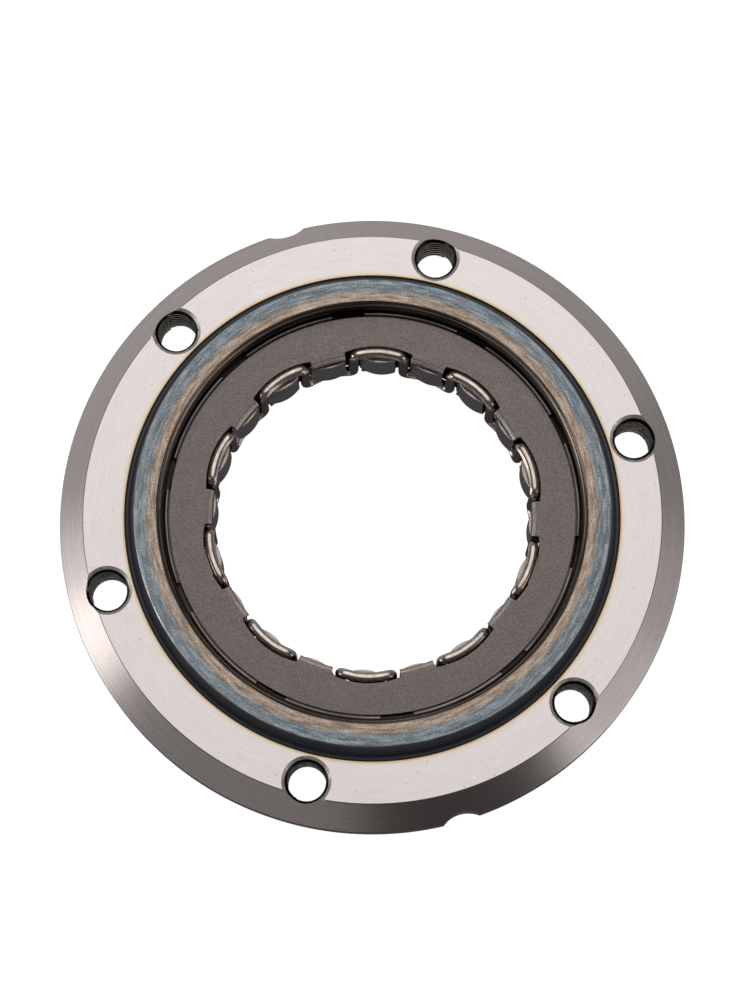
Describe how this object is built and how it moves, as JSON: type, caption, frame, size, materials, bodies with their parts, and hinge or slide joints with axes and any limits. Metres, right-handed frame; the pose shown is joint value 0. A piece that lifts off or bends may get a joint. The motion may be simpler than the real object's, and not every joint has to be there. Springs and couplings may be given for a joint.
{
  "type": "sprag clutch",
  "caption": "One-way clutch with a flanged outer race, a cage of rocking sprags held by a bent wire spring, and an open middle for an inner race.",
  "frame": {"origin": "on the clutch's axis, at the housing's back face", "axes": "+Z along the axis, out of the front with the hub and the cage's front ring; +X to the right in the picture"},
  "size_m": [0.116, 0.116, 0.0157],
  "materials": {
    "turned_steel": "ground and turned",
    "cage_steel": "phosphated",
    "spring_wire": "polished",
    "sprag_steel": "tumbled"
  },
  "bodies": {
    "housing": {"housing": "turned_steel"},
    "cage": {"cage_outer": "cage_steel", "cage_front": "cage_steel", "cage_rear": "cage_steel", "wire_spring": "spring_wire"},
    "sprag_01": {"sprag_01": "sprag_steel"},
    "sprag_02": {"sprag_02": "sprag_steel"},
    "sprag_03": {"sprag_03": "sprag_steel"},
    "sprag_04": {"sprag_04": "sprag_steel"},
    "sprag_05": {"sprag_05": "sprag_steel"},
    "sprag_06": {"sprag_06": "sprag_steel"},
    "sprag_07": {"sprag_07": "sprag_steel"},
    "sprag_08": {"sprag_08": "sprag_steel"},
    "sprag_09": {"sprag_09": "sprag_steel"},
    "sprag_10": {"sprag_10": "sprag_steel"},
    "sprag_11": {"sprag_11": "sprag_steel"},
    "sprag_12": {"sprag_12": "sprag_steel"},
    "sprag_13": {"sprag_13": "sprag_steel"},
    "sprag_14": {"sprag_14": "sprag_steel"},
    "sprag_15": {"sprag_15": "sprag_steel"},
    "sprag_16": {"sprag_16": "sprag_steel"},
    "sprag_17": {"sprag_17": "sprag_steel"},
    "sprag_18": {"sprag_18": "sprag_steel"},
    "sprag_19": {"sprag_19": "sprag_steel"},
    "sprag_20": {"sprag_20": "sprag_steel"}
  },
  "joints": [
    {"name": "cage_turn", "type": "hinge", "parent": "housing", "child": "cage", "pos_m": [0, 0, 0.00645], "axis": [0, 0, 1], "continuous": true},
    {"name": "sprag_01_rock", "type": "hinge", "parent": "cage", "child": "sprag_01", "pos_m": [0.03138, 0.00937, 0.00645], "axis": [0, 0, 1], "range_deg": [0, 8], "stiffness_Nm_per_rad": 0.001, "springref_deg": -5.73},
    {"name": "sprag_02_rock", "type": "hinge", "parent": "cage", "child": "sprag_02", "pos_m": [0.02695, 0.01861, 0.00645], "axis": [0, 0, 1], "range_deg": [0, 8], "stiffness_Nm_per_rad": 0.001, "springref_deg": -5.73},
    {"name": "sprag_03_rock", "type": "hinge", "parent": "cage", "child": "sprag_03", "pos_m": [0.01988, 0.02603, 0.00645], "axis": [0, 0, 1], "range_deg": [0, 8], "stiffness_Nm_per_rad": 0.001, "springref_deg": -5.73},
    {"name": "sprag_04_rock", "type": "hinge", "parent": "cage", "child": "sprag_04", "pos_m": [0.01086, 0.03089, 0.00645], "axis": [0, 0, 1], "range_deg": [0, 8], "stiffness_Nm_per_rad": 0.001, "springref_deg": -5.73},
    {"name": "sprag_05_rock", "type": "hinge", "parent": "cage", "child": "sprag_05", "pos_m": [0.00078, 0.03274, 0.00645], "axis": [0, 0, 1], "range_deg": [0, 8], "stiffness_Nm_per_rad": 0.001, "springref_deg": -5.73},
    {"name": "sprag_06_rock", "type": "hinge", "parent": "cage", "child": "sprag_06", "pos_m": [-0.00937, 0.03138, 0.00645], "axis": [0, 0, 1], "range_deg": [0, 8], "stiffness_Nm_per_rad": 0.001, "springref_deg": -5.73},
    {"name": "sprag_07_rock", "type": "hinge", "parent": "cage", "child": "sprag_07", "pos_m": [-0.01861, 0.02695, 0.00645], "axis": [0, 0, 1], "range_deg": [0, 8], "stiffness_Nm_per_rad": 0.001, "springref_deg": -5.73},
    {"name": "sprag_08_rock", "type": "hinge", "parent": "cage", "child": "sprag_08", "pos_m": [-0.02603, 0.01988, 0.00645], "axis": [0, 0, 1], "range_deg": [0, 8], "stiffness_Nm_per_rad": 0.001, "springref_deg": -5.73},
    {"name": "sprag_09_rock", "type": "hinge", "parent": "cage", "child": "sprag_09", "pos_m": [-0.03089, 0.01086, 0.00645], "axis": [0, 0, 1], "range_deg": [0, 8], "stiffness_Nm_per_rad": 0.001, "springref_deg": -5.73},
    {"name": "sprag_10_rock", "type": "hinge", "parent": "cage", "child": "sprag_10", "pos_m": [-0.03274, 0.00078, 0.00645], "axis": [0, 0, 1], "range_deg": [0, 8], "stiffness_Nm_per_rad": 0.001, "springref_deg": -5.73},
    {"name": "sprag_11_rock", "type": "hinge", "parent": "cage", "child": "sprag_11", "pos_m": [-0.03138, -0.00937, 0.00645], "axis": [0, 0, 1], "range_deg": [0, 8], "stiffness_Nm_per_rad": 0.001, "springref_deg": -5.73},
    {"name": "sprag_12_rock", "type": "hinge", "parent": "cage", "child": "sprag_12", "pos_m": [-0.02695, -0.01861, 0.00645], "axis": [0, 0, 1], "range_deg": [0, 8], "stiffness_Nm_per_rad": 0.001, "springref_deg": -5.73},
    {"name": "sprag_13_rock", "type": "hinge", "parent": "cage", "child": "sprag_13", "pos_m": [-0.01988, -0.02603, 0.00645], "axis": [0, 0, 1], "range_deg": [0, 8], "stiffness_Nm_per_rad": 0.001, "springref_deg": -5.73},
    {"name": "sprag_14_rock", "type": "hinge", "parent": "cage", "child": "sprag_14", "pos_m": [-0.01086, -0.03089, 0.00645], "axis": [0, 0, 1], "range_deg": [0, 8], "stiffness_Nm_per_rad": 0.001, "springref_deg": -5.73},
    {"name": "sprag_15_rock", "type": "hinge", "parent": "cage", "child": "sprag_15", "pos_m": [-0.00078, -0.03274, 0.00645], "axis": [0, 0, 1], "range_deg": [0, 8], "stiffness_Nm_per_rad": 0.001, "springref_deg": -5.73},
    {"name": "sprag_16_rock", "type": "hinge", "parent": "cage", "child": "sprag_16", "pos_m": [0.00937, -0.03138, 0.00645], "axis": [0, 0, 1], "range_deg": [0, 8], "stiffness_Nm_per_rad": 0.001, "springref_deg": -5.73},
    {"name": "sprag_17_rock", "type": "hinge", "parent": "cage", "child": "sprag_17", "pos_m": [0.01861, -0.02695, 0.00645], "axis": [0, 0, 1], "range_deg": [0, 8], "stiffness_Nm_per_rad": 0.001, "springref_deg": -5.73},
    {"name": "sprag_18_rock", "type": "hinge", "parent": "cage", "child": "sprag_18", "pos_m": [0.02603, -0.01988, 0.00645], "axis": [0, 0, 1], "range_deg": [0, 8], "stiffness_Nm_per_rad": 0.001, "springref_deg": -5.73},
    {"name": "sprag_19_rock", "type": "hinge", "parent": "cage", "child": "sprag_19", "pos_m": [0.03089, -0.01086, 0.00645], "axis": [0, 0, 1], "range_deg": [0, 8], "stiffness_Nm_per_rad": 0.001, "springref_deg": -5.73},
    {"name": "sprag_20_rock", "type": "hinge", "parent": "cage", "child": "sprag_20", "pos_m": [0.03274, -0.00078, 0.00645], "axis": [0, 0, 1], "range_deg": [0, 8], "stiffness_Nm_per_rad": 0.001, "springref_deg": -5.73}
  ],
  "couplings": [
    {"joint": "sprag_02_rock", "follows": "sprag_01_rock", "ratio": 1},
    {"joint": "sprag_03_rock", "follows": "sprag_01_rock", "ratio": 1},
    {"joint": "sprag_04_rock", "follows": "sprag_01_rock", "ratio": 1},
    {"joint": "sprag_05_rock", "follows": "sprag_01_rock", "ratio": 1},
    {"joint": "sprag_06_rock", "follows": "sprag_01_rock", "ratio": 1},
    {"joint": "sprag_07_rock", "follows": "sprag_01_rock", "ratio": 1},
    {"joint": "sprag_08_rock", "follows": "sprag_01_rock", "ratio": 1},
    {"joint": "sprag_09_rock", "follows": "sprag_01_rock", "ratio": 1},
    {"joint": "sprag_10_rock", "follows": "sprag_01_rock", "ratio": 1},
    {"joint": "sprag_11_rock", "follows": "sprag_01_rock", "ratio": 1},
    {"joint": "sprag_12_rock", "follows": "sprag_01_rock", "ratio": 1},
    {"joint": "sprag_13_rock", "follows": "sprag_01_rock", "ratio": 1},
    {"joint": "sprag_14_rock", "follows": "sprag_01_rock", "ratio": 1},
    {"joint": "sprag_15_rock", "follows": "sprag_01_rock", "ratio": 1},
    {"joint": "sprag_16_rock", "follows": "sprag_01_rock", "ratio": 1},
    {"joint": "sprag_17_rock", "follows": "sprag_01_rock", "ratio": 1},
    {"joint": "sprag_18_rock", "follows": "sprag_01_rock", "ratio": 1},
    {"joint": "sprag_19_rock", "follows": "sprag_01_rock", "ratio": 1},
    {"joint": "sprag_20_rock", "follows": "sprag_01_rock", "ratio": 1}
  ]
}
